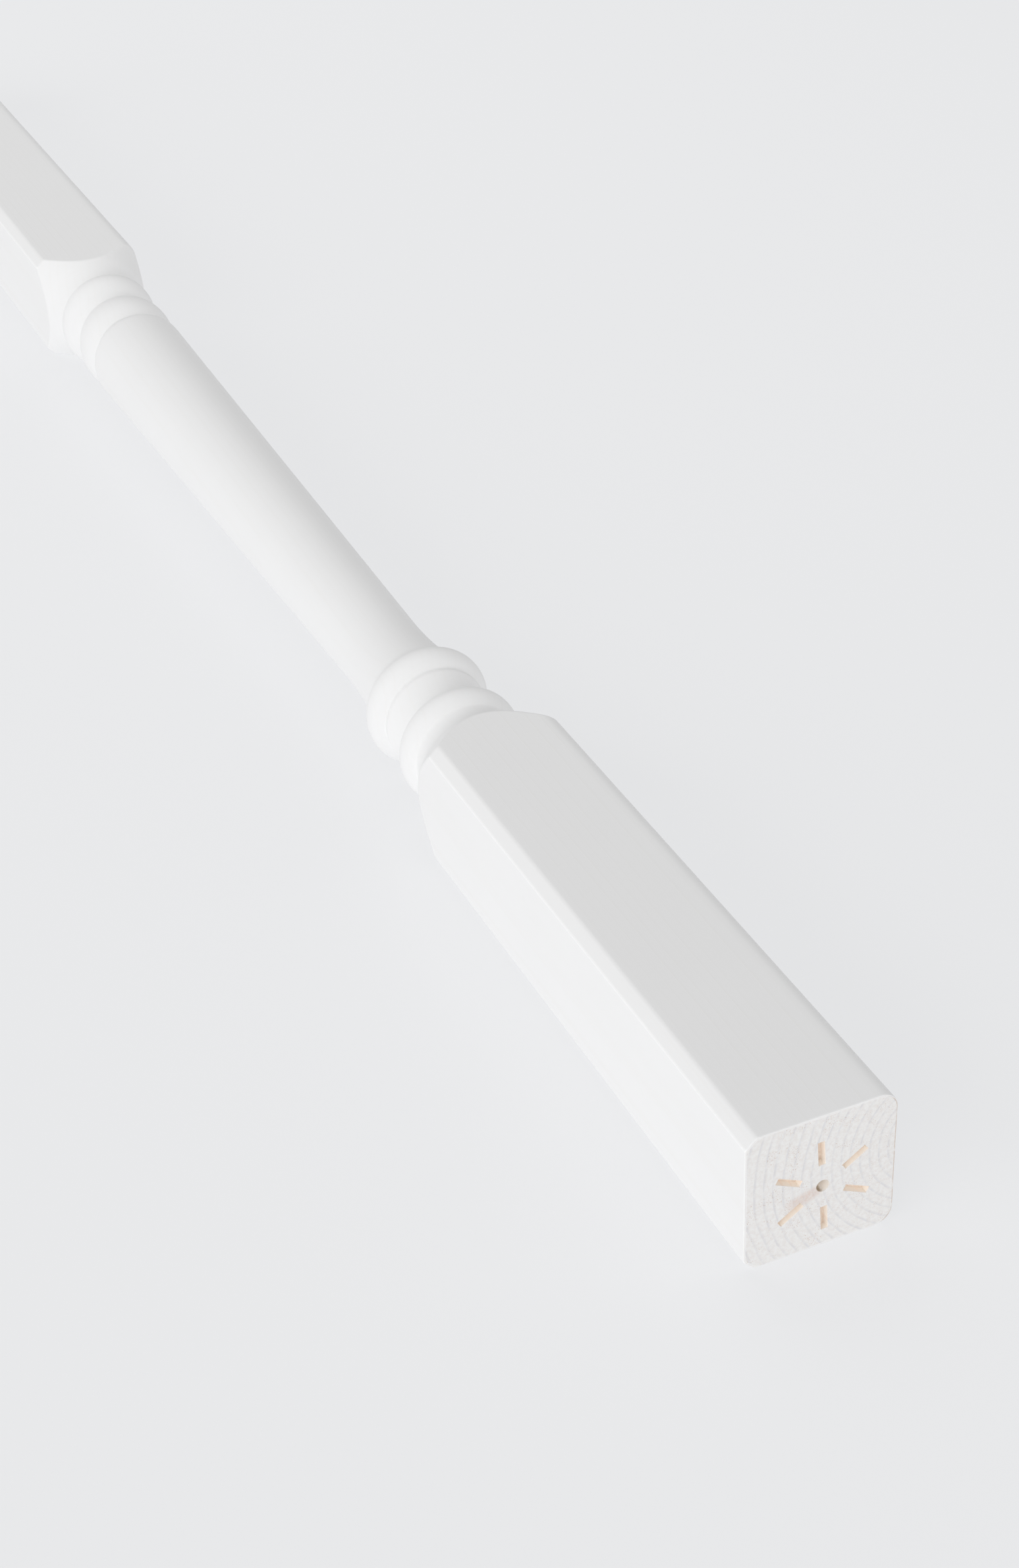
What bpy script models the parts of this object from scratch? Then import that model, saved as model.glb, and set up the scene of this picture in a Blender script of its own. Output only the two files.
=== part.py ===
"""Turned stair baluster, lying on the faces of its two square blocks.

One piece of timber: a square moulded blank with eased long edges, turned round between its blocks.
Metres, +Z up. X runs along the turning axis, from the top end at -X to the bottom end at +X, and the
origin is at the centre of the length, on the surface that the blocks lie on.
"""
import math

import bmesh
import bpy
from mathutils import Matrix

# Blank
LENGTH = 0.900            # over both square blocks
SECTION = 0.041           # face to face, both ways
CHAMFER = 0.003           # flat chamfer on the two long edges at +Y
EDGE_RADIUS = 0.0048      # rounding of the two long edges at -Y
TOP_BLOCK = 0.188         # top block, along its long edges
BOTTOM_BLOCK = 0.304      # bottom block, along its long edges

# Turned members below the top block: lengths along the axis and radii
TOP_SHOULDER_RUN = 0.0110     # from the long edges down to just below the faces
TOP_NECK_RUN = 0.0106
TOP_NECK_RADIUS = 0.0162
TOP_NECK_HOLLOW = 0.0010
SMALL_BEAD_WIDTH = 0.0100
SMALL_BEAD_RADIUS = 0.0193
GROOVE_FALL = 0.0030
GROOVE_WIDTH = 0.0022
GROOVE_RADIUS = 0.0140
COVE_RUN = 0.0078             # rises from the groove to the quirk beside the large bead
COVE_RADIUS = 0.0165
COVE_HOLLOW = 0.0004
QUIRK_RUN = 0.0018
QUIRK_RADIUS = 0.0158
LARGE_BEAD_WIDTH = 0.0105
LARGE_BEAD_RADIUS = 0.0196
SCOTIA_RUN = 0.0060           # hollow between the large bead and the flare
SCOTIA_TOP_RADIUS = 0.0174
SCOTIA_HOLLOW = 0.0005
FLARE_RUN = 0.0249            # eases from the scotia into the shaft
FLARE_RADIUS = 0.0152
FLARE_HOLLOW = 0.0004

# Shaft, thinnest below the large bead
SHAFT_TOP_RADIUS = 0.0136
SHAFT_BOTTOM_RADIUS = 0.0183

# Turned members above the bottom block
FALL_RUN = 0.0060             # from the shaft down to the first bead
FALL_RADIUS = 0.0155
FIRST_BEAD_WIDTH = 0.0200
FIRST_BEAD_RADIUS = 0.0186
HOLLOW_WIDTH = 0.0080         # between the two beads
HOLLOW_RADIUS = 0.0157        # at both its edges
HOLLOW_DEPTH = 0.0018
SECOND_BEAD_WIDTH = 0.0135
SECOND_BEAD_RADIUS = 0.0191
BOTTOM_NECK_RADIUS = 0.0155
BOTTOM_NECK_RUN = 0.0095      # from the second bead up to just below the faces
BOTTOM_NECK_HOLLOW = 0.0012
BOTTOM_SHOULDER_RUN = 0.0095  # from just below the faces out to the long edges
SHOULDER_CLEAR = 0.0003       # how far below the faces both shoulders end

# Marks that the lathe's driving centre left in the top end, and the tail centre in the bottom end
MARK_OFFSET_Y = -0.0007
MARK_OFFSET_Z = -0.0015
SPUR_COUNT = 6
SPUR_TURN = math.radians(-3.5)     # of the first spur from upright
SPUR_INNER = 0.0067
SPUR_OUTER = 0.0140
SPUR_WIDTH = 0.0019
SPUR_DEPTH = 0.0021
POINT_RADIUS = 0.0018
POINT_DEPTH = 0.0032
TAIL_RADIUS = 0.0015
TAIL_DEPTH = 0.0030

# Fineness of the faceted surfaces
ROUND_SIDES = 48
BEAD_STEPS = 9
HOLLOW_STEPS = 4
EDGE_STEPS = 5                # odd, so that no point of it meets a point of the turning
POINT_SIDES = 16
SHARP_ANGLE = math.radians(30)

HALF = SECTION / 2
AXIS_HEIGHT = HALF
OVERRUN = SECTION             # how far the turning's envelope stands clear of the blank


def new_object(name, bm):
    """Makes an object of a bmesh, with outward faces and smooth round stretches."""
    bmesh.ops.recalc_face_normals(bm, faces=bm.faces)
    mesh = bpy.data.meshes.new(name)
    bm.to_mesh(mesh)
    bm.free()
    mesh.shade_smooth()
    mesh.set_sharp_from_angle(angle=SHARP_ANGLE)
    made = bpy.data.objects.new(name, mesh)
    bpy.context.scene.collection.objects.link(made)
    return made


def as_cutter(cutter):
    cutter.hide_render = True
    cutter.display_type = "WIRE"
    return cutter


def arc_point(centre, radius, angle):
    return centre[0] + radius * math.cos(angle), centre[1] + radius * math.sin(angle)


def section_outline():
    """The blank's section as (y, z) about its centre: two chamfered and two rounded corners."""
    inner = HALF - CHAMFER
    outline = [(HALF, -inner), (HALF, inner), (inner, HALF)]
    for corner, start in ((1, math.pi / 2), (-1, math.pi)):
        centre = (EDGE_RADIUS - HALF, corner * (HALF - EDGE_RADIUS))
        for step in range(EDGE_STEPS + 1):
            turn = math.pi / 2 * step / EDGE_STEPS
            outline.append(arc_point(centre, EDGE_RADIUS, start + turn))
    outline.append((inner, -HALF))
    return outline


def make_blank():
    """The square blank, drawn as its section and extruded along X."""
    bm = bmesh.new()
    ring = [bm.verts.new((-LENGTH / 2, y, AXIS_HEIGHT + z)) for y, z in section_outline()]
    end = bm.faces.new(ring)
    grown = bmesh.ops.extrude_face_region(bm, geom=[end])["geom"]
    moved = [v for v in grown if isinstance(v, bmesh.types.BMVert)]
    bmesh.ops.translate(bm, verts=moved, vec=(LENGTH, 0, 0))
    return new_object("baluster", bm)


def bowed(start, end, rise, steps):
    """Points after start, on a circular arc to end whose middle stands rise outwards of the chord."""
    (x0, r0), (x1, r1) = start, end
    chord = math.hypot(x1 - x0, r1 - r0)
    if abs(rise) < chord * 1e-4:
        return [end]
    half_sweep = 2 * math.atan(2 * abs(rise) / chord)
    radius = chord / 2 / math.sin(half_sweep)
    side = math.copysign(1, rise)
    out = (-(r1 - r0) / chord * side, (x1 - x0) / chord * side)
    sink = radius * math.cos(half_sweep)
    centre = ((x0 + x1) / 2 - out[0] * sink, (r0 + r1) / 2 - out[1] * sink)
    middle = math.atan2(out[1], out[0])
    return [
        arc_point(centre, radius, middle + side * half_sweep * (1 - 2 * step / steps))
        for step in range(1, steps + 1)
    ]


def turned_profile():
    """The turning's outline as (x, radius), from beyond the top end to beyond the bottom end."""
    top, bottom = -LENGTH / 2, LENGTH / 2
    reach = math.hypot(HALF, HALF - CHAMFER)
    below = HALF - SHOULDER_CLEAR
    outside = reach + OVERRUN

    def bead(width, top_radius, end_radius, steps):
        """A bead from the profile's last point: its crown stands at top_radius."""
        x, radius = profile[-1]
        rise = top_radius - (radius + end_radius) / 2
        profile.extend(bowed((x, radius), (x + width, end_radius), rise, steps))

    def hollow(width, end_radius, depth):
        x, radius = profile[-1]
        profile.extend(bowed((x, radius), (x + width, end_radius), -depth, HOLLOW_STEPS))

    def straight(width, end_radius):
        profile.append((profile[-1][0] + width, end_radius))

    edge = top + TOP_BLOCK
    slope = (reach - below) / TOP_SHOULDER_RUN
    profile = [(top - OVERRUN, 0.0), (top - OVERRUN, outside)]
    profile.append((edge - (outside - reach) / slope, outside))
    profile.append((edge + TOP_SHOULDER_RUN, below))
    hollow(TOP_NECK_RUN, TOP_NECK_RADIUS, TOP_NECK_HOLLOW)
    bead(SMALL_BEAD_WIDTH, SMALL_BEAD_RADIUS, TOP_NECK_RADIUS, BEAD_STEPS)
    straight(GROOVE_FALL, GROOVE_RADIUS)
    straight(GROOVE_WIDTH, GROOVE_RADIUS)
    hollow(COVE_RUN, COVE_RADIUS, COVE_HOLLOW)
    straight(QUIRK_RUN, QUIRK_RADIUS)
    bead(LARGE_BEAD_WIDTH, LARGE_BEAD_RADIUS, SCOTIA_TOP_RADIUS, BEAD_STEPS + 1)
    hollow(SCOTIA_RUN, FLARE_RADIUS, SCOTIA_HOLLOW)
    hollow(FLARE_RUN, SHAFT_TOP_RADIUS, FLARE_HOLLOW)

    lower = (
        FALL_RUN + FIRST_BEAD_WIDTH + HOLLOW_WIDTH + SECOND_BEAD_WIDTH
        + BOTTOM_NECK_RUN + BOTTOM_SHOULDER_RUN
    )
    edge = bottom - BOTTOM_BLOCK
    straight(edge - lower - profile[-1][0], SHAFT_BOTTOM_RADIUS)
    straight(FALL_RUN, FALL_RADIUS)
    bead(FIRST_BEAD_WIDTH, FIRST_BEAD_RADIUS, HOLLOW_RADIUS, BEAD_STEPS)
    hollow(HOLLOW_WIDTH, HOLLOW_RADIUS, HOLLOW_DEPTH)
    bead(SECOND_BEAD_WIDTH, SECOND_BEAD_RADIUS, BOTTOM_NECK_RADIUS, BEAD_STEPS)
    hollow(BOTTOM_NECK_RUN, below, BOTTOM_NECK_HOLLOW)
    slope = (reach - below) / BOTTOM_SHOULDER_RUN
    profile.append((edge + (outside - reach) / slope, outside))
    profile.extend([(bottom + OVERRUN, outside), (bottom + OVERRUN, 0.0)])
    return profile


def make_turning():
    """The profile spun about the axis, as the envelope that the blank is turned down to."""
    bm = bmesh.new()
    line = [bm.verts.new((x, 0, AXIS_HEIGHT + radius)) for x, radius in turned_profile()]
    edges = [bm.edges.new(pair) for pair in zip(line, line[1:])]
    bmesh.ops.spin(
        bm, geom=line + edges, axis=(1, 0, 0), cent=(0, 0, AXIS_HEIGHT),
        angle=math.tau, steps=ROUND_SIDES, use_merge=True,
    )
    bmesh.ops.remove_doubles(bm, verts=bm.verts, dist=1e-7)
    return as_cutter(new_object("turning_envelope", bm))


def add_cone(bm, mouth, radius, depth, inwards):
    """A conical mark along X, from a little outside its mouth to its tip."""
    clear = depth / 2
    place = Matrix.Translation((mouth[0] + inwards * (depth - clear) / 2, mouth[1], mouth[2]))
    bmesh.ops.create_cone(
        bm, cap_ends=True, segments=POINT_SIDES, depth=depth + clear,
        radius1=radius * (depth + clear) / depth, radius2=0,
        matrix=place @ Matrix.Rotation(inwards * math.pi / 2, 4, "Y"),
    )


def make_marks():
    """The driving centre's spurs and point in the top end, and the tail centre's in the bottom."""
    bm = bmesh.new()
    centre = (-LENGTH / 2, MARK_OFFSET_Y, AXIS_HEIGHT + MARK_OFFSET_Z)
    blade = Matrix.Diagonal((2 * SPUR_DEPTH, SPUR_WIDTH, SPUR_OUTER - SPUR_INNER, 1))
    out = Matrix.Translation((0, 0, (SPUR_OUTER + SPUR_INNER) / 2))
    for spur in range(SPUR_COUNT):
        turn = Matrix.Rotation(SPUR_TURN + math.tau * spur / SPUR_COUNT, 4, "X")
        bmesh.ops.create_cube(bm, size=1, matrix=Matrix.Translation(centre) @ turn @ out @ blade)
    add_cone(bm, centre, POINT_RADIUS, POINT_DEPTH, 1)
    add_cone(bm, (LENGTH / 2, 0, AXIS_HEIGHT), TAIL_RADIUS, TAIL_DEPTH, -1)
    return as_cutter(new_object("centre_marks", bm))


def cut(body, operation, cutter):
    step = body.modifiers.new(cutter.name, "BOOLEAN")
    step.operation = operation
    step.object = cutter


def paint():
    """White primer over planed softwood."""
    made = bpy.data.materials.new("white_primer")
    made.use_nodes = True
    shader = made.node_tree.nodes["Principled BSDF"]
    shader.inputs["Base Color"].default_value = (0.83, 0.84, 0.84, 1)
    shader.inputs["Roughness"].default_value = 0.5
    shader.inputs["Metallic"].default_value = 0
    return made


for old in list(bpy.data.objects):
    bpy.data.objects.remove(old, do_unlink=True)

baluster = make_blank()
cut(baluster, "INTERSECT", make_turning())
cut(baluster, "DIFFERENCE", make_marks())
baluster.data.materials.append(paint())
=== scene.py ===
"""Turned stair baluster in white primer, lying on a pale floor: the looks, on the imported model.

Metres, +Z up, in the model's own frame. X runs along the turning axis from the top end to the bottom end,
the origin is at the middle of the length on the surface that the baluster lies on, and +Y is the side of the
chamfered edges.
"""
import math

import bpy
import numpy as np
from mathutils import Matrix, Vector


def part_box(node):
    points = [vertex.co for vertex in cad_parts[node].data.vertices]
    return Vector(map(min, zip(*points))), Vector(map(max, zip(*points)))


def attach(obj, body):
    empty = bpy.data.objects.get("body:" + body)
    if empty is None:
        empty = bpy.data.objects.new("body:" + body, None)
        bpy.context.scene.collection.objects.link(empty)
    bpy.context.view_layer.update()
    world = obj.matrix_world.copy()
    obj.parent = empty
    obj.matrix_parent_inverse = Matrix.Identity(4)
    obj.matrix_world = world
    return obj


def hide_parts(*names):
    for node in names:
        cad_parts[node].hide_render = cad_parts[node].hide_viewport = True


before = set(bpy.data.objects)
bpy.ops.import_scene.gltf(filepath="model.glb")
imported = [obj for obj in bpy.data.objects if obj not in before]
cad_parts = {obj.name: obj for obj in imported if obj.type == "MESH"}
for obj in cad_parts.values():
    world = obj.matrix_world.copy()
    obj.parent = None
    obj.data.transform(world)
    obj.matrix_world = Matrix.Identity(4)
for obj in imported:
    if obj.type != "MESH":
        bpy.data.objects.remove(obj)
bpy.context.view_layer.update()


# The blank
# A length of planed softwood, square, with the two long edges at +Y chamfered and the two at -Y rounded.
# Primer has softened all its arrises, the upper one between a chamfer and the flat side at +Y the least.
low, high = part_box("baluster")
TOP, BOTTOM = low[0], high[0]
HALF = (high[2] - low[2]) / 2
AXIS_Y, AXIS_Z = (low[1] + high[1]) / 2, (low[2] + high[2]) / 2
CHAMFER = 0.0030
EDGE_RADIUS = 0.0048
CRISP_ARRIS = 0.0004
SOFT_ARRIS = 0.0018
COLUMN_SPACING = 0.0016      # of the surface's columns along the section's straight sides
ARC_STEPS = 9                # columns round a rounded edge, and round each arris


def rounded_outline(corners):
    """A closed outline of straight sides. Each corner (y, z, radius) is an arc tangent to both sides that
    meet there, so its ends lie radius / tan(half the angle between the sides) from the corner."""
    points = np.array([corner[:2] for corner in corners])
    arcs = []
    for at, before, after, corner in zip(points, np.roll(points, 1, 0), np.roll(points, -1, 0), corners):
        back = (before - at) / np.linalg.norm(before - at)
        onward = (after - at) / np.linalg.norm(after - at)
        half_angle = math.acos(back @ onward) / 2
        middle = (back + onward) / np.linalg.norm(back + onward)
        centre = at + middle * corner[2] / math.sin(half_angle)
        ends = [at + way * corner[2] / math.tan(half_angle) - centre for way in (back, onward)]
        start, end = np.unwrap([math.atan2(end[1], end[0]) for end in ends])
        turn = np.linspace(start, end, ARC_STEPS)
        arcs.append(centre + corner[2] * np.column_stack([np.cos(turn), np.sin(turn)]))
    line = []
    for arc, following in zip(arcs, arcs[1:] + arcs[:1]):
        steps = int(np.linalg.norm(following[0] - arc[-1]) / COLUMN_SPACING) + 2
        side = arc[-1] + (following[0] - arc[-1]) * np.linspace(0, 1, steps)[1:-1, None]
        line += [arc, side]
    return np.concatenate(line)


inner = HALF - CHAMFER
section = rounded_outline([
    (HALF, inner, CRISP_ARRIS), (inner, HALF, SOFT_ARRIS),
    (-HALF, HALF, EDGE_RADIUS), (-HALF, -HALF, EDGE_RADIUS),
    (inner, -HALF, SOFT_ARRIS), (HALF, -inner, SOFT_ARRIS),
])
section_angle = np.arctan2(section[:, 1], section[:, 0])
section_radius = np.hypot(section[:, 0], section[:, 1])
columns = len(section)


# The turning
# Between its blocks the blank is turned round: a shoulder, neck, beads, scotia and flare below the top block,
# a shaft that thickens downwards, and two beads with a hollow between them, a neck and a shoulder above the
# bottom block.
LONG_EDGE = math.hypot(HALF, inner)
TOP_EDGE = TOP + 0.188           # where the shoulders meet the long edges of the blocks
BOTTOM_EDGE = BOTTOM - 0.304
SHAFT_TOP_RADIUS = 0.0136
SHAFT_BOTTOM_RADIUS = 0.0183
UPPER_MEMBERS = (                # run along the axis, radius at its end, bow of its middle beyond the chord
    (0.0110, 0.0202, 0),                            # shoulder
    (0.0106, 0.0162, -0.0010),                      # neck
    (0.0100, 0.0162, 0.0031),                       # small bead
    (0.0030, 0.0140, 0),                            # fall into the groove
    (0.0022, 0.0140, 0),                            # groove
    (0.0078, 0.0165, -0.0004),                      # cove
    (0.0018, 0.0158, 0),                            # quirk
    (0.0105, 0.0174, 0.0030),                       # large bead
    (0.0060, 0.0152, -0.0005),                      # scotia
    (0.0249, SHAFT_TOP_RADIUS, -0.0004),            # flare
)
LOWER_MEMBERS = (
    (0.0060, 0.0155, 0),                            # fall
    (0.0200, 0.0157, 0.0030),                       # first bead
    (0.0080, 0.0157, -0.0018),                      # hollow
    (0.0135, 0.0155, 0.0035),                       # second bead
    (0.0095, 0.0202, -0.0012),                      # neck
    (0.0095, LONG_EDGE, 0),                         # shoulder
)
MEMBER_STEPS = 60
PRIMER_FILL = 0.00055            # how far primer spreads a turned corner or valley along the profile
PROFILE_STEP = 0.00005
SHOULDER_REACH = 0.010           # how far a shoulder's cone goes on, unseen, past the long edges
GROUP_SPACING = 0.00042          # of the surface's rows along the turned members
SHAFT_SPACING = 0.0050
SHAFT_RUN_IN = 0.020             # over which the rows open out, from either end of the shaft


def turned_line(start, members):
    """Points (x, radius) along members, from start. A member is the circular arc through its two ends whose
    middle stands bow outside their chord: with half-sweep h = 2 atan(2 bow / chord) and t from -1 to 1, it
    lies (1 + sin(h t) / sin h) / 2 of the way along the chord and (cos(h t) - cos h) / sin h half-chords out
    of it."""
    line = [np.array([start])]
    t = np.linspace(-1, 1, MEMBER_STEPS)[1:, None]
    for run, end_radius, bow in members:
        at = line[-1][-1]
        chord = np.array([run, end_radius - at[1]])
        length = np.hypot(*chord)
        outwards = np.array([-chord[1], chord[0]]) / length
        sweep = 2 * math.atan(2 * bow / length)
        if bow:
            along = (1 + np.sin(sweep * t) / math.sin(sweep)) / 2
            away = (np.cos(sweep * t) - math.cos(sweep)) / math.sin(sweep) * length / 2
        else:
            along, away = (1 + t) / 2, 0 * t
        line.append(at + along * chord + away * outwards)
    return np.concatenate(line)


def eased(line):
    """The line at even steps along itself, each point averaged with its neighbours by a Gaussian PRIMER_FILL
    wide."""
    travel = np.concatenate([[0], np.cumsum(np.hypot(*np.diff(line, axis=0).T))])
    even = np.arange(0, travel[-1], PROFILE_STEP)
    points = [np.interp(even, travel, line[:, axis]) for axis in (0, 1)]
    offsets = np.arange(-4 * PRIMER_FILL, 4 * PRIMER_FILL, PROFILE_STEP)
    weights = np.exp(-((offsets / PRIMER_FILL) ** 2) / 2)
    weights /= weights.sum()
    pad = len(weights) // 2
    smooth = [np.convolve(np.pad(p, pad, mode="edge"), weights, "same")[pad:-pad] for p in points]
    return np.column_stack(smooth)


upper_slope = (LONG_EDGE - UPPER_MEMBERS[0][1]) / UPPER_MEMBERS[0][0]
lower_slope = (LONG_EDGE - LOWER_MEMBERS[-2][1]) / LOWER_MEMBERS[-1][0]
upper_line = turned_line((TOP_EDGE, LONG_EDGE), UPPER_MEMBERS)
shaft_end = BOTTOM_EDGE - sum(member[0] for member in LOWER_MEMBERS)
lower_line = turned_line((shaft_end, SHAFT_BOTTOM_RADIUS), LOWER_MEMBERS)
before = (TOP_EDGE - SHOULDER_REACH, LONG_EDGE + upper_slope * SHOULDER_REACH)
beyond = (BOTTOM_EDGE + SHOULDER_REACH, LONG_EDGE + lower_slope * SHOULDER_REACH)
profile = eased(np.concatenate([[before], upper_line, lower_line, [beyond]]))


# The surface of the blank and its turning
# Rows run round the piece and columns along it. The rows where a shoulder cuts the blank's sides are bent to
# follow that cut, which dips from the long edges to the middle of each side, so its crease stays clean.
CREASE_SOFTNESS = 0.00050        # how near the two surfaces come before primer rounds their crease
RIM_RADIUS = 0.00025             # rounding of the sawn ends' rims
BEND_BEFORE, BEND_AFTER = 0.023, 0.0150      # the bent rows' reach from the long edge, to block and to neck
CREASE_ROW = 0.0050              # where the crease's row lies before it is bent
BLOCK_ROWS = (0, 0.00005, 0.00012, 0.00025, 0.0006, 0.0015, 0.005, 0.015, 0.040, 0.080, 0.120)
CREASE_OFFSETS = np.array([0, 0.15, 0.3, 0.45, 0.6, 0.8, 1.1, 1.6, 2.4, 3.6]) / 1000


def crease_rows(edge, way):
    """Unbent rows round one shoulder, from the block to the neck: even ones, and close ones at the crease."""
    near = np.concatenate([CREASE_ROW - CREASE_OFFSETS[::-1], CREASE_ROW + CREASE_OFFSETS[1:]])
    far = np.concatenate([np.linspace(-BEND_BEFORE, near[0], 8)[:-1], near,
                          np.linspace(near[-1], BEND_AFTER, 14)[1:]])
    return np.sort(edge + way * far)


def turned_rows(start, end):
    """Rows between start and end, GROUP_SPACING apart along the profile where it bends and SHAFT_SPACING
    apart on the shaft."""
    inside = profile[(profile[:, 0] > start) & (profile[:, 0] < end)]
    edge_distance = np.minimum(inside[:, 0] - upper_line[-1, 0], shaft_end - inside[:, 0])
    reaches = [-SHAFT_RUN_IN, 0, SHAFT_RUN_IN]
    spacing = np.interp(edge_distance, reaches, [GROUP_SPACING, 4 * GROUP_SPACING, SHAFT_SPACING])
    return inside[np.flatnonzero(np.diff(np.floor(np.cumsum(PROFILE_STEP / spacing)))), 0]


def bent(rows, edge, way, crease):
    """Each column's rows near one shoulder, stretched evenly on each side so that the crease row lies on
    crease."""
    start, nominal, end = edge - way * BEND_BEFORE, edge + way * CREASE_ROW, edge + way * BEND_AFTER
    moved = np.where(
        (rows - nominal) * way < 0,
        start + (rows - start) * (crease - start) / (nominal - start),
        end + (rows - end) * (crease - end) / (nominal - end),
    )
    return np.where(((rows - start) * way > 0) & ((end - rows) * way > 0), moved, rows)


def soft_minimum(a, b, softness):
    """The lesser of a and b, lowered by up to a quarter of softness where they are closer than that."""
    near = np.maximum(softness - np.abs(a - b), 0) / softness
    return np.minimum(a, b) - near ** 2 * softness / 4


body_rows = np.concatenate([
    TOP + np.array(BLOCK_ROWS),
    crease_rows(TOP_EDGE, 1),
    turned_rows(TOP_EDGE + BEND_AFTER, BOTTOM_EDGE - BEND_AFTER),
    crease_rows(BOTTOM_EDGE, -1),
    np.linspace(BOTTOM_EDGE + BEND_BEFORE, BOTTOM - BLOCK_ROWS[-1], 4)[1:-1],
    BOTTOM - np.array(BLOCK_ROWS)[::-1],
])[:, None]
body_x = bent(body_rows, TOP_EDGE, 1, TOP_EDGE + (LONG_EDGE - section_radius) / upper_slope)
body_x = bent(body_x, BOTTOM_EDGE, -1, BOTTOM_EDGE - (LONG_EDGE - section_radius) / lower_slope)
turned_radius = np.interp(body_x, profile[:, 0], profile[:, 1])
body_radius = soft_minimum(section_radius, turned_radius, CREASE_SOFTNESS)
short_of_rim = np.maximum(RIM_RADIUS - np.minimum(body_x - TOP, BOTTOM - body_x), 0)
body_radius -= RIM_RADIUS - np.sqrt(RIM_RADIUS ** 2 - np.minimum(short_of_rim, RIM_RADIUS) ** 2)
body = np.stack([body_x, body_radius * np.cos(section_angle), body_radius * np.sin(section_angle)], axis=-1)


# The ends
# Both are sawn square. The lathe's driving centre left six spur slots round a conical point hole in the top
# end, a little off the middle, and the tail centre left a smaller conical hole in the bottom end's middle.
DRIVE_CENTRE = np.array([-0.0007, -0.0015])      # from the axis, as (y, z)
SPUR_COUNT = 6
SPUR_ANGLE = math.radians(86.5)                  # of one spur, from +Y towards +Z
SPUR_INNER, SPUR_OUTER = 0.0067, 0.0140
SPUR_WIDTH = 0.0019
SPUR_DEPTH = 0.0020
SPUR_BATTER = 0.00018                            # how far a slot's walls lean out, from floor to lip
POINT_RADIUS, POINT_DEPTH = 0.0018, 0.0032
TAIL_RADIUS, TAIL_DEPTH = 0.0015, 0.0030
FLOOR_COLUMNS = 4                                # from a slot's middle to the foot of its wall
SLOT_ROWS = 19
ROUND_POINT = (0.0020, 0.0026, 0.0034, 0.0044, 0.0056)      # radii of the rows from the hole to the slots
CLEAR_OF_SPURS = 0.0152                          # radius past which the rows open out to the end's rim
RIM_SHARES = (0.12, 0.3, 0.5, 0.7, 0.85, 0.95, 1)           # of the way from there to the rim
FIBRE_RISE = 0.00022                             # roughness of the crushed floors


def spur_columns(rim_angle):
    """The column that each spur's middle lies on, and its angle, for the spurs once round and one more each
    way."""
    turns = np.arange(-1, SPUR_COUNT + 2)
    angles = SPUR_ANGLE + math.tau / SPUR_COUNT * turns
    angles -= math.tau * np.round((SPUR_ANGLE - rim_angle[0]) / math.tau)
    wrapped = np.arange(-columns, 2 * columns)
    around = np.concatenate([rim_angle - math.tau, rim_angle, rim_angle + math.tau])
    return wrapped[np.abs(around[:, None] - angles).argmin(axis=0)], angles


def drive_end(rim):
    """The top end from its pole out to rim, row by row. Within CLEAR_OF_SPURS a row is a circle about the
    drive centre whose columns gather at the slots: the one at a wall's foot lies asin(half the floor's width
    / radius) from the spur's middle. Further out the rows open evenly to the rim."""
    rim_angle = np.unwrap(np.arctan2(rim[:, 1] - DRIVE_CENTRE[1], rim[:, 0] - DRIVE_CENTRE[0]))
    middles, angles = spur_columns(rim_angle)
    lip_in, lip_out = SPUR_INNER, SPUR_OUTER
    foot_in, foot_out = lip_in + SPUR_BATTER, lip_out - SPUR_BATTER
    knot_columns = np.array([-FLOOR_COLUMNS - 1, -FLOOR_COLUMNS, 0, FLOOR_COLUMNS, FLOOR_COLUMNS + 1])
    radii = np.concatenate([
        np.linspace(0, POINT_RADIUS, 8)[1:], ROUND_POINT, [lip_in],
        np.linspace(foot_in, foot_out, SLOT_ROWS), [lip_out], [CLEAR_OF_SPURS],
    ])
    rows, depths = [], []
    for radius in radii:
        held = min(max(radius, lip_in), lip_out)
        foot, lip = (math.asin((SPUR_WIDTH / 2 - lean) / held) for lean in (SPUR_BATTER, 0))
        knots = middles[:, None] + knot_columns
        knot_angles = angles[:, None] + np.array([-lip, -foot, 0, foot, lip])
        turn = np.interp(np.arange(columns), knots.ravel(), knot_angles.ravel())
        rows.append(DRIVE_CENTRE + radius * np.column_stack([np.cos(turn), np.sin(turn)]))
        over_floor = np.abs(np.arange(columns)[:, None] - middles).min(axis=1) <= FLOOR_COLUMNS
        slot = SPUR_DEPTH * over_floor * (foot_in <= radius <= foot_out)
        depths.append(slot + POINT_DEPTH * max(0, 1 - radius / POINT_RADIUS))
    for share in RIM_SHARES:
        rows.append(rows[len(radii) - 1] * (1 - share) + rim * share)
        depths.append(np.zeros(columns))
    return np.array(rows), np.array(depths)


def tail_end(rim):
    """The bottom end from its rim in to its pole, with the tail centre's cone: rows are the rim's outline,
    drawn in until they are circles at a fifth of its size."""
    cone = np.linspace(1, 0, 7)[:-1] * TAIL_RADIUS / HALF
    radii = np.concatenate([np.linspace(1, 0.2, 9), [0.1], cone])[:, None]
    circle = np.column_stack([np.cos(section_angle), np.sin(section_angle)]) * HALF
    squareness = np.clip((radii - 0.2) / 0.8, 0, 1)[:, :, None]
    rows = radii[:, :, None] * (rim * squareness + circle * (1 - squareness))
    depths = TAIL_DEPTH * np.clip(1 - radii * HALF / TAIL_RADIUS, 0, 1) * np.ones(columns)
    return rows[1:], depths[1:]


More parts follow.
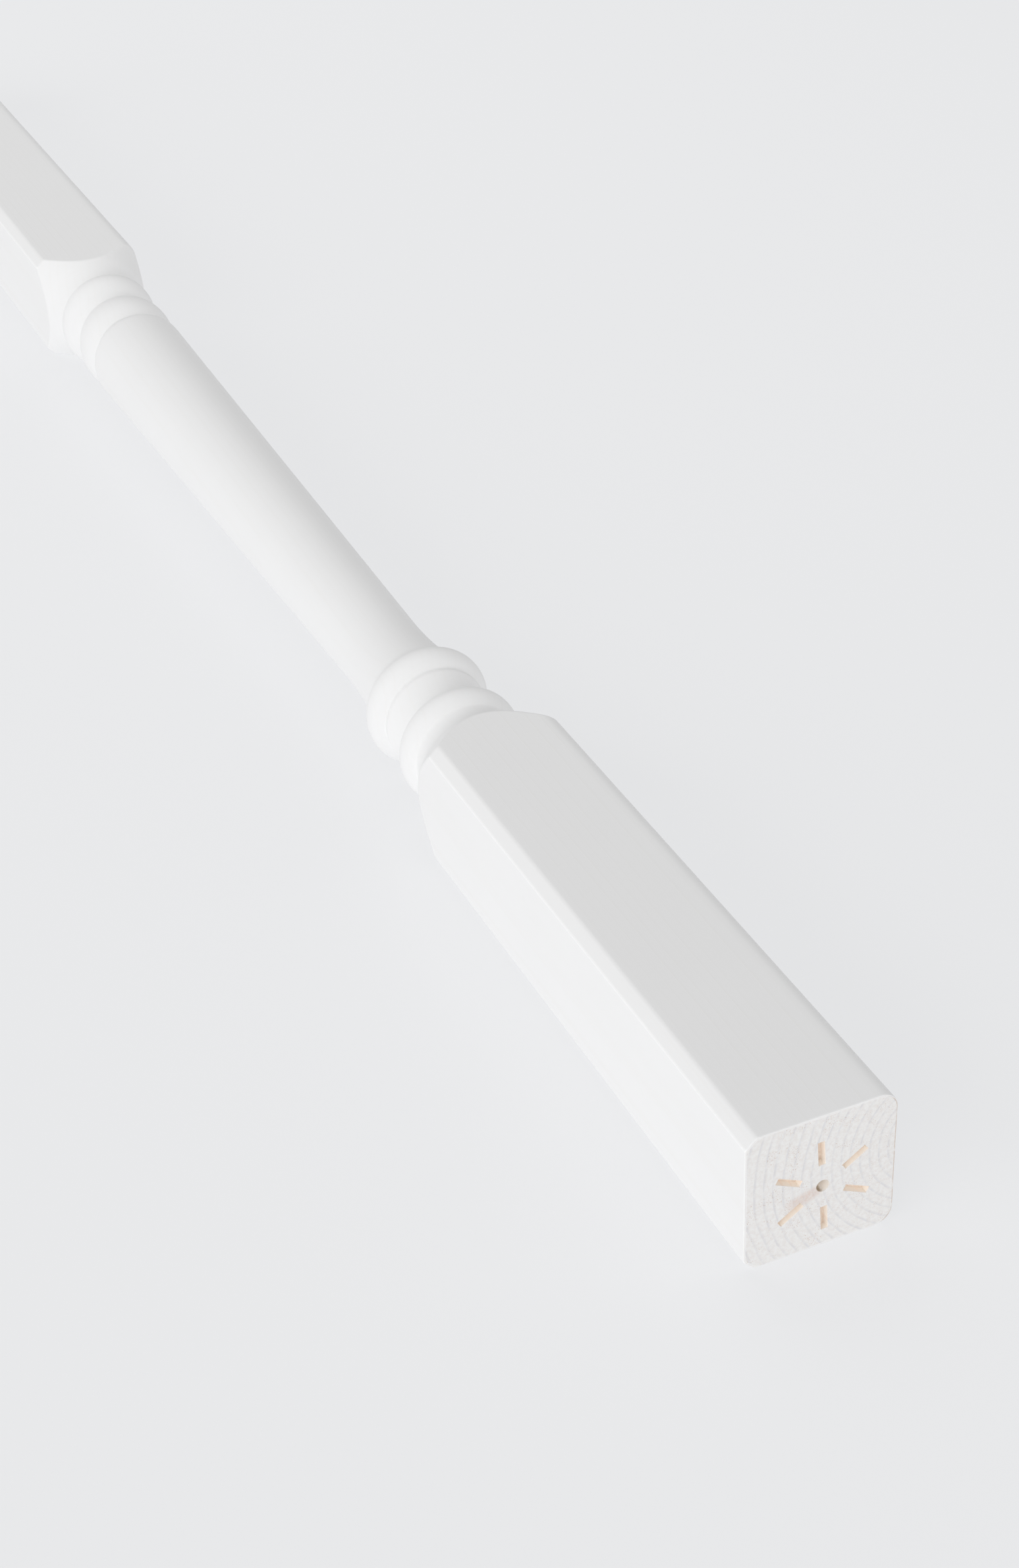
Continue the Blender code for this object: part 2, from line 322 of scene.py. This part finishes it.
rng = np.random.default_rng(11)
top_rim, bottom_rim = body[0, :, 1:], body[-1, :, 1:]
top_rows, top_depths = drive_end(top_rim)
bottom_rows, bottom_depths = tail_end(bottom_rim)
in_slot = top_depths > 0.9 * SPUR_DEPTH
in_slot[: np.searchsorted(np.hypot(*(top_rows[:, 0] - DRIVE_CENTRE).T), SPUR_INNER)] = False
top_depths = top_depths - in_slot * FIBRE_RISE * rng.random(top_depths.shape)
top_cap = np.dstack([TOP + top_depths, top_rows])[:-1]
bottom_cap = np.dstack([BOTTOM - bottom_depths, bottom_rows])
body_start, body_end = len(top_cap), len(top_cap) + len(body)
grid = np.concatenate([top_cap, body, bottom_cap])
rows = len(grid)
poles = np.array([[TOP + POINT_DEPTH, *DRIVE_CENTRE], [BOTTOM - TAIL_DEPTH, 0, 0]])
corners = np.concatenate([grid.reshape(-1, 3), poles]) + [0, AXIS_Y, AXIS_Z]

index = np.arange(rows * columns).reshape(rows, columns)
across = np.roll(index, -1, axis=1)
quads = np.stack([index[:-1], across[:-1], across[1:], index[1:]], axis=-1).reshape(-1, 4)
top_fan = np.column_stack([np.full(columns, rows * columns), across[0], index[0]])
bottom_fan = np.column_stack([np.full(columns, rows * columns + 1), index[-1], across[-1]])

SHARP_ANGLE = math.radians(38)   # of a crease that is left unsmoothed, as at the slots' lips
mesh = bpy.data.meshes.new("primed_baluster")
mesh.from_pydata(corners.tolist(), [], quads.tolist() + top_fan.tolist() + bottom_fan.tolist())
mesh.shade_smooth()
mesh.set_sharp_from_angle(angle=SHARP_ANGLE)
baluster = bpy.data.objects.new("primed_baluster", mesh)
bpy.context.scene.collection.objects.link(baluster)

PRIMER, END_GRAIN, BARE_WOOD = 0, 1, 2
slot_corner = np.zeros((rows, columns), bool)
slot_corner[:body_start] = in_slot[:body_start]
face_row = np.repeat(np.arange(rows - 1), columns)
kinds = np.full(len(quads), PRIMER)
kinds[(face_row < body_start) | (face_row >= body_end - 1)] = END_GRAIN
kinds[slot_corner.reshape(-1)[quads].any(axis=1)] = BARE_WOOD
mesh.polygons.foreach_set("material_index", np.concatenate([kinds, np.full(2 * columns, END_GRAIN)]))

TURNED_BLEND = 0.0006            # depth of cut at which the surface counts as fully turned
on_turning = np.zeros((rows, columns))
on_turning[body_start:body_end] = np.clip((section_radius - turned_radius) / TURNED_BLEND, 0, 1)
rim_distance = np.zeros((rows, columns))
for first_row, cap, rim in ((0, top_cap, top_rim), (body_end, bottom_cap, bottom_rim)):
    distances = np.linalg.norm(cap[:, :, None, 1:] - rim, axis=-1)
    rim_distance[first_row : first_row + len(cap)] = distances.min(axis=-1)
for name, values, at_poles in (("turned", on_turning, 0), ("rim_distance", rim_distance, HALF)):
    stored = mesh.attributes.new(name, "FLOAT", "POINT")
    stored.data.foreach_set("value", np.append(values.ravel(), [at_poles, at_poles]).astype(np.float32))


# The wood's growth rings
# The blank was sawn beside the heart, so its rings are wide arcs about a pith outside it, at -Y and a little
# above the middle. They run through from end to end, and each darkens outwards to a thin line of late wood.
PITH_Y, PITH_Z = -0.0310, AXIS_Z + 0.0040
RING_PITCH = 0.0026
RING_WANDER = 0.0016
LATE_WOOD_RISE = (0.62, 0.90)    # shares of a ring, from the pith outwards
LATE_WOOD_FALL = (0.93, 1.0)


def wire(tree, kind, inputs=(), **settings):
    """A new node, with its settings and, by name, its inputs: another node's socket is linked, a plain value
    is set."""
    node = tree.nodes.new(kind)
    for name, value in settings.items():
        setattr(node, name, value)
    for name, value in dict(inputs).items():
        if isinstance(value, bpy.types.NodeSocket):
            tree.links.new(value, node.inputs[name])
        else:
            node.inputs[name].default_value = value
    return node


def calculate(tree, operation, *values):
    """The result of a Math node on one to three values or sockets."""
    return wire(tree, "ShaderNodeMath", enumerate(values), operation=operation).outputs[0]


def product(tree, value, *factors):
    for factor in factors:
        value = calculate(tree, "MULTIPLY", value, factor)
    return value


def hypotenuse(tree, a, b):
    """The square root of a squared plus b squared."""
    squares = [calculate(tree, "POWER", side, 2) for side in (a, b)]
    return calculate(tree, "SQRT", calculate(tree, "ADD", *squares))


def split(tree, place):
    return wire(tree, "ShaderNodeSeparateXYZ", {0: place}).outputs


def ramp(tree, value, start, end, low=0.0, high=1.0):
    """low below start and high above end, with a smooth change between."""
    limits = {"Value": value, "From Min": start, "From Max": end, "To Min": low, "To Max": high}
    return wire(tree, "ShaderNodeMapRange", limits, interpolation_type="SMOOTHSTEP").outputs[0]


def noise(tree, place, scale, detail=2.0, roughness=0.5):
    settings = {"Vector": place, "Scale": scale, "Detail": detail, "Roughness": roughness}
    return wire(tree, "ShaderNodeTexNoise", settings).outputs[0]


def mixed(tree, share, a, b):
    """Colour a, or b where share is 1."""
    return wire(tree, "ShaderNodeMix", {0: share, 6: a, 7: b}, data_type="RGBA").outputs[2]


def scaled(tree, place, x, y, z):
    settings = {"Vector": place, "Scale": (x, y, z)}
    return wire(tree, "ShaderNodeMapping", settings, vector_type="POINT").outputs[0]


def chart(red, green, blue):
    """A colour read off a chart, 0 to 255, as Blender's linear values."""
    levels = np.array([red, green, blue]) / 255
    return (*np.where(levels > 0.04045, ((levels + 0.055) / 1.055) ** 2.4, levels / 12.92), 1)


rings = bpy.data.node_groups.new("growth_rings", "ShaderNodeTree")
rings.interface.new_socket("Place", in_out="INPUT", socket_type="NodeSocketVector")
for name in ("Late Wood", "Fibres", "Pores"):
    rings.interface.new_socket(name, in_out="OUTPUT", socket_type="NodeSocketFloat")
place = rings.nodes.new("NodeGroupInput").outputs["Place"]
parted = split(rings, place)
across_y = calculate(rings, "SUBTRACT", parted["Y"], PITH_Y)
across_z = calculate(rings, "SUBTRACT", parted["Z"], PITH_Z)
from_pith = hypotenuse(rings, across_y, across_z)
around_pith = calculate(rings, "ARCTAN2", across_z, across_y)
wander = calculate(rings, "SUBTRACT", noise(rings, scaled(rings, place, 8, 90, 90), 1, 2), 0.5)
wandered = calculate(rings, "MULTIPLY_ADD", wander, RING_WANDER, from_pith)
ring_share = calculate(rings, "FRACT", calculate(rings, "DIVIDE", wandered, RING_PITCH))
rise = ramp(rings, ring_share, *LATE_WOOD_RISE)
fall = ramp(rings, ring_share, *LATE_WOOD_FALL, 1.0, 0.0)
polar = wire(rings, "ShaderNodeCombineXYZ", {"X": from_pith, "Y": around_pith, "Z": parted["X"]}).outputs[0]
strength = ramp(rings, noise(rings, scaled(rings, polar, 300, 14, 3), 1, 2), 0.30, 0.70, 0.25, 1.0)
late = product(rings, rise, fall, strength)
fibres = noise(rings, scaled(rings, polar, 5200, 260, 60), 1, 3, 0.6)
pore_cells = noise(rings, scaled(rings, polar, 3300, 75, 140), 1, 2, 0.65)
pore_areas = noise(rings, scaled(rings, polar, 260, 9, 8), 1, 2)
pores = product(rings, ramp(rings, pore_cells, 0.58, 0.66), ramp(rings, pore_areas, 0.50, 0.62))
group_out = rings.nodes.new("NodeGroupOutput")
for name, value in (("Late Wood", late), ("Fibres", fibres), ("Pores", pores)):
    rings.links.new(value, group_out.inputs[name])


def new_material(name):
    """A material with nodes: (itself, its tree, its Principled BSDF, its Object coordinates)."""
    made = bpy.data.materials.new(name)
    made.use_nodes = True
    tree = made.node_tree
    return made, tree, tree.nodes["Principled BSDF"], tree.nodes.new("ShaderNodeTexCoord").outputs["Object"]


def grown(tree, place):
    """The growth rings' outputs at place, in a material."""
    group = wire(tree, "ShaderNodeGroup", node_tree=rings)
    tree.links.new(place, group.inputs["Place"])
    return group.outputs


def attribute(tree, name):
    """A value kept at the surface's points."""
    return wire(tree, "ShaderNodeAttribute", attribute_name=name, attribute_type="GEOMETRY").outputs["Fac"]


def bumped(tree, height, distance, strength=1.0, below=None):
    """A normal from a height of 0 to 1 that stands for distance in metres, on top of another normal."""
    inputs = {"Height": height, "Distance": distance, "Strength": strength}
    if below is not None:
        inputs["Normal"] = below
    return wire(tree, "ShaderNodeBump", inputs).outputs[0]


# The primer
# Sprayed white, satin and thin: it hides the wood's colour, but the rings lift it a little along the blocks,
# the lathe's tool lines run round under it on the turning, and it has a fine orange peel all over. A thin
# whiter line along both arrises of the flat side at +Y is a painted highlight.
PRIMER_THIN, PRIMER_FULL = chart(246, 246, 246), chart(248, 248, 248)
PRIMER_OVER_LATE_WOOD = chart(244, 243, 241)
PRIMER_PAINTED_HIGHLIGHT = chart(255, 255, 255)
HIGHLIGHT_CORE, HIGHLIGHT_EDGE = 0.00015, 0.00050          # from the arris
HIGHLIGHT_SHARE = 0.8
SIDE_START, SIDE_FULL = HALF - 0.0012, HALF - 0.0005     # where the line begins, towards +Y
RING_LIFT, TOOL_LINE_DEPTH, PEEL_HEIGHT = 0.00002, 0.000012, 0.000010
primer, tree, shader, place = new_material("white_primer")
grain = grown(tree, place)
turned_share = attribute(tree, "turned")
unturned_share = calculate(tree, "SUBTRACT", 1.0, turned_share)
white = mixed(tree, noise(tree, place, 35, 3), PRIMER_THIN, PRIMER_FULL)
white = mixed(tree, product(tree, grain["Late Wood"], 0.25), white, PRIMER_OVER_LATE_WOOD)
parted = split(tree, place)
height = calculate(tree, "ABSOLUTE", calculate(tree, "SUBTRACT", parted["Z"], AXIS_Z))
from_arris = calculate(tree, "ABSOLUTE", calculate(tree, "SUBTRACT", height, inner))
# Painted highlight: the arrises of the flat side at +Y are coloured whiter than the primer, as if lit.
arris_highlight = ramp(tree, from_arris, HIGHLIGHT_CORE, HIGHLIGHT_EDGE, HIGHLIGHT_SHARE, 0.0)
on_side = ramp(tree, parted["Y"], SIDE_START, SIDE_FULL)
white = mixed(tree, product(tree, arris_highlight, on_side, unturned_share), white, PRIMER_PAINTED_HIGHLIGHT)
tree.links.new(white, shader.inputs["Base Color"])
peel = noise(tree, place, 2600, 2, 0.55)
sheen = calculate(tree, "MULTIPLY_ADD", noise(tree, place, 220, 3), 0.12, 0.60)
tree.links.new(sheen, shader.inputs["Roughness"])
shader.inputs["Specular IOR Level"].default_value = 0.3
tool_lines = noise(tree, scaled(tree, place, 2600, 14, 14), 1, 2, 0.6)
finish = bumped(tree, product(tree, grain["Late Wood"], unturned_share), RING_LIFT, 0.5)
finish = bumped(tree, product(tree, tool_lines, turned_share), TOOL_LINE_DEPTH, 0.6, finish)
finish = bumped(tree, peel, PEEL_HEIGHT, 0.5, finish)
tree.links.new(finish, shader.inputs["Normal"])
mesh.materials.append(primer)


# The end grain
# Only a mist of primer reached the sawn ends. The rings show through it as thin blue-grey lines, open pores
# as brown specks, and a thin brown line runs along the rim, strongest towards -Y. A smear of drier primer
# leads from the drive's point, whose hole is coloured darker on its +Y side as painted shade.
MIST_THICK, MIST_THIN = chart(244, 244, 243), chart(236, 233, 231)
LATE_WOOD_LINE, FIBRE_TINT, PORE_BROWN = chart(219, 219, 223), chart(229, 222, 217), chart(196, 166, 148)
SMEAR_TINT = chart(226, 207, 197)
POINT_WOOD, POINT_PAINTED_SHADE = chart(246, 232, 214), chart(164, 145, 124)
LIP_WHITE, RIM_BROWN = chart(249, 249, 249), chart(200, 174, 152)
SMEAR_START = (DRIVE_CENTRE[0] + 0.0010, DRIVE_CENTRE[1] - 0.0006)      # from the axis, as (y, z)
SMEAR_WAY = math.radians(-21)                                           # from +Y towards -Z
SMEAR_LENGTH, SMEAR_HALF_WIDTH = 0.0110, 0.0015
SMEAR_SPREAD = 0.06                  # widens it by this share of the way along it
SMEAR_EDGE, SMEAR_FADE = 0.0009, 0.005
RAGGEDNESS = 0.0016
RIGHT_START, RIGHT_FULL = AXIS_Y - 0.0165, AXIS_Y - 0.0190              # where the primer's lip gives way
LIP_CORE, LIP_EDGE = 0.00025, 0.00065                                   # from the rim
RIM_LINE_CORE, RIM_LINE_EDGE = 0.00008, 0.00028
RING_RELIEF, FIBRE_RELIEF, PORE_RELIEF, MOTTLE_RELIEF = 0.00004, 0.00006, 0.00010, 0.00005
end_grain, tree, shader, place = new_material("misted_end_grain")
grain = grown(tree, place)
mottle = noise(tree, place, 900, 4, 0.65)
base = mixed(tree, ramp(tree, mottle, 0.35, 0.70), MIST_THICK, MIST_THIN)
base = mixed(tree, product(tree, grain["Late Wood"], 0.70), base, LATE_WOOD_LINE)
base = mixed(tree, product(tree, grain["Fibres"], 0.22), base, FIBRE_TINT)
base = mixed(tree, product(tree, grain["Pores"], 0.65), base, PORE_BROWN)

parted = split(tree, place)
at_top = calculate(tree, "LESS_THAN", parted["X"], 0.0)
smear_y = calculate(tree, "SUBTRACT", parted["Y"], AXIS_Y + SMEAR_START[0])
smear_z = calculate(tree, "SUBTRACT", parted["Z"], AXIS_Z + SMEAR_START[1])
way_y, way_z = math.cos(SMEAR_WAY), math.sin(SMEAR_WAY)
along = calculate(tree, "ADD", product(tree, smear_y, way_y), product(tree, smear_z, way_z))
aside = calculate(tree, "SUBTRACT", product(tree, smear_z, way_y), product(tree, smear_y, way_z))
ragged = calculate(tree, "MULTIPLY_ADD", noise(tree, place, 900, 3), RAGGEDNESS, -RAGGEDNESS / 2)
aside = calculate(tree, "ADD", calculate(tree, "ABSOLUTE", aside), ragged)
aside = calculate(tree, "SUBTRACT", aside, product(tree, along, SMEAR_SPREAD))
smear = product(
    tree,
    ramp(tree, aside, SMEAR_HALF_WIDTH - SMEAR_EDGE, SMEAR_HALF_WIDTH + SMEAR_EDGE, 1.0, 0.0),
    ramp(tree, along, -0.0010, 0.0010),
    ramp(tree, along, SMEAR_LENGTH - SMEAR_FADE, SMEAR_LENGTH, 1.0, 0.0),
    at_top,
    ramp(tree, noise(tree, place, 1500, 3, 0.6), 0.35, 0.65, 0.55, 1.0),
)
base = mixed(tree, product(tree, smear, 0.75), base, SMEAR_TINT)

point_y = calculate(tree, "SUBTRACT", parted["Y"], AXIS_Y + DRIVE_CENTRE[0])
point_z = calculate(tree, "SUBTRACT", parted["Z"], AXIS_Z + DRIVE_CENTRE[1])
from_point = hypotenuse(tree, point_y, point_z)
in_point = ramp(tree, from_point, POINT_RADIUS - 0.0002, POINT_RADIUS + 0.0001, 1.0, 0.0)
in_point = product(tree, in_point, at_top)
# Painted shade: the point's hole is coloured dark brown on its +Y side, which lies in shade.
point_shade_share = ramp(tree, calculate(tree, "ADD", point_y, ragged), -0.0004, 0.0010)
base = mixed(tree, product(tree, in_point, 0.55), base, POINT_WOOD)
base = mixed(tree, product(tree, in_point, point_shade_share), base, POINT_PAINTED_SHADE)

from_rim = attribute(tree, "rim_distance")
to_right = ramp(tree, parted["Y"], RIGHT_START, RIGHT_FULL)
lip = ramp(tree, from_rim, LIP_CORE, LIP_EDGE, 0.7, 0.0)
base = mixed(tree, product(tree, lip, calculate(tree, "SUBTRACT", 1.0, to_right)), base, LIP_WHITE)
# A thin brown line along the rim, faint towards +Y and strongest towards -Y.
rim_line = product(
    tree,
    ramp(tree, from_rim, RIM_LINE_CORE, RIM_LINE_EDGE, 0.8, 0.0),
    ramp(tree, noise(tree, place, 260, 3, 0.6), 0.34, 0.54),
    ramp(tree, to_right, 0.0, 1.0, 0.15, 1.0),
)
base = mixed(tree, rim_line, base, RIM_BROWN)
tree.links.new(base, shader.inputs["Base Color"])
tree.links.new(ramp(tree, mottle, 0.3, 0.7, 0.55, 0.75), shader.inputs["Roughness"])
finish = bumped(tree, grain["Late Wood"], RING_RELIEF, 0.6)
finish = bumped(tree, grain["Fibres"], FIBRE_RELIEF, 0.5, finish)
finish = bumped(tree, grain["Pores"], PORE_RELIEF, -0.6, finish)
finish = bumped(tree, mottle, MOTTLE_RELIEF, 0.6, finish)
tree.links.new(finish, shader.inputs["Normal"])
mesh.materials.append(end_grain)


# The bare wood of the slots
# The spurs were driven in after priming, so the slots show fresh pinkish-orange softwood: long grain down
# their walls, darker at each ring, and crushed fibres on their floors. A little primer mist lies at the lips.
WALL_PALE, WALL_WARM = chart(255, 250, 243), chart(255, 244, 232)
WALL_LATE_WOOD, CRUSHED_FLOOR, LIP_MIST = chart(252, 226, 206), chart(251, 234, 219), chart(246, 242, 238)
MIST_DEPTH = 0.0003
SPLINTER_RELIEF = 0.00005
bare, tree, shader, place = new_material("bare_softwood")
grain = grown(tree, place)
streaks = noise(tree, scaled(tree, place, 240, 2600, 2600), 1, 3, 0.6)
wood = mixed(tree, streaks, WALL_PALE, WALL_WARM)
wood = mixed(tree, product(tree, grain["Late Wood"], 0.40), wood, WALL_LATE_WOOD)
depth = calculate(tree, "SUBTRACT", split(tree, place)["X"], TOP)
floor_share = ramp(tree, depth, SPUR_DEPTH * 0.80, SPUR_DEPTH * 0.98)
wood = mixed(tree, product(tree, floor_share, 0.75), wood, CRUSHED_FLOOR)
wood = mixed(tree, ramp(tree, depth, 0.0, MIST_DEPTH, 0.30, 0.0), wood, LIP_MIST)
tree.links.new(wood, shader.inputs["Base Color"])
tree.links.new(ramp(tree, streaks, 0.3, 0.7, 0.60, 0.80), shader.inputs["Roughness"])
tree.links.new(bumped(tree, streaks, SPLINTER_RELIEF, 0.8), shader.inputs["Normal"])
mesh.materials.append(bare)

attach(baluster, "root")
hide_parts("baluster")


# The floor and the light
# A plain pale sheet that gives off most of its own brightness, so that shadows on it stay faint, under a soft
# even sky. Two large soft lamps low down at the front left, the stronger, and the front right, and a weak one
# over the far end light the baluster. The lamps themselves stay out of every picture.
FLOOR_SIZE = 80.0
FLOOR_DROP = 0.0002              # below the blocks, so that the faces don't coincide
FLOOR_WHITENESS = 0.32
FLOOR_GLOW = 0.695
SKY_STRENGTH = 0.41
reach = FLOOR_SIZE / 2
floor_corners = [(-reach, -reach), (reach, -reach), (reach, reach), (-reach, reach)]
floor_mesh = bpy.data.meshes.new("pale_floor")
floor_mesh.from_pydata([(*corner, -FLOOR_DROP) for corner in floor_corners], [], [(0, 1, 2, 3)])
pale_floor = bpy.data.objects.new("pale_floor", floor_mesh)
bpy.context.scene.collection.objects.link(pale_floor)
sheet, tree, shader, place = new_material("pale_sheet")
shader.inputs["Base Color"].default_value = (FLOOR_WHITENESS, FLOOR_WHITENESS, FLOOR_WHITENESS, 1)
shader.inputs["Roughness"].default_value = 0.9
shader.inputs["Specular IOR Level"].default_value = 0.0
shader.inputs["Emission Color"].default_value = chart(233, 234, 236)
shader.inputs["Emission Strength"].default_value = FLOOR_GLOW
floor_mesh.materials.append(sheet)

sky = bpy.data.worlds.new("soft_sky")
sky.use_nodes = True
sky.node_tree.nodes["Background"].inputs["Color"].default_value = (1, 1, 1, 1)
sky.node_tree.nodes["Background"].inputs["Strength"].default_value = SKY_STRENGTH
bpy.context.scene.world = sky

LAMPS = (                        # name, place, width, height, watts
    ("front_left_lamp", (-2.22, 3.99, 1.99), 5.8, 3.5, 122.0),
    ("front_right_lamp", (-4.02, -2.29, 1.80), 5.8, 3.5, 50.0),
    ("far_lamp", (0.80, 0.00, 1.40), 1.2, 1.2, 5.1),
)
for name, at, width, tall, watts in LAMPS:
    lamp = bpy.data.lights.new(name, "AREA")
    lamp.shape, lamp.size, lamp.size_y, lamp.energy = "RECTANGLE", width, tall, watts
    light = bpy.data.objects.new(name, lamp)
    light.location = at
    light.visible_camera = False
    light.rotation_euler = (Vector(at) - Vector((0, AXIS_Y, AXIS_Z))).to_track_quat("Z", "Y").to_euler()
    bpy.context.scene.collection.objects.link(light)


# The camera
# Close above the top end and looking along the baluster, as the photograph does.
# Its long lens and its place were found from the straight edges of both blocks.
CAMERA_PLACE = Vector((-0.85300, 0.24557, 0.44679))
CAMERA_FORWARD = Vector((0.76765, -0.32439, -0.55271))
CAMERA_UP = Vector((0.49146, -0.25554, 0.83256))
CAMERA_LENS, SENSOR_WIDTH = 60.64, 36.0          # mm, the sensor's along the picture's long side
camera = bpy.data.cameras.new("camera")
camera.lens, camera.sensor_width = CAMERA_LENS, SENSOR_WIDTH
camera.sensor_fit = "AUTO"
viewer = bpy.data.objects.new("camera", camera)
right = CAMERA_FORWARD.cross(CAMERA_UP).normalized()
up = right.cross(CAMERA_FORWARD).normalized()
turn = Matrix((right, up, -CAMERA_FORWARD)).transposed()
viewer.matrix_world = Matrix.Translation(CAMERA_PLACE) @ turn.to_4x4()
bpy.context.scene.collection.objects.link(viewer)
bpy.context.scene.camera = viewer
bpy.context.scene.view_settings.view_transform = "Standard"
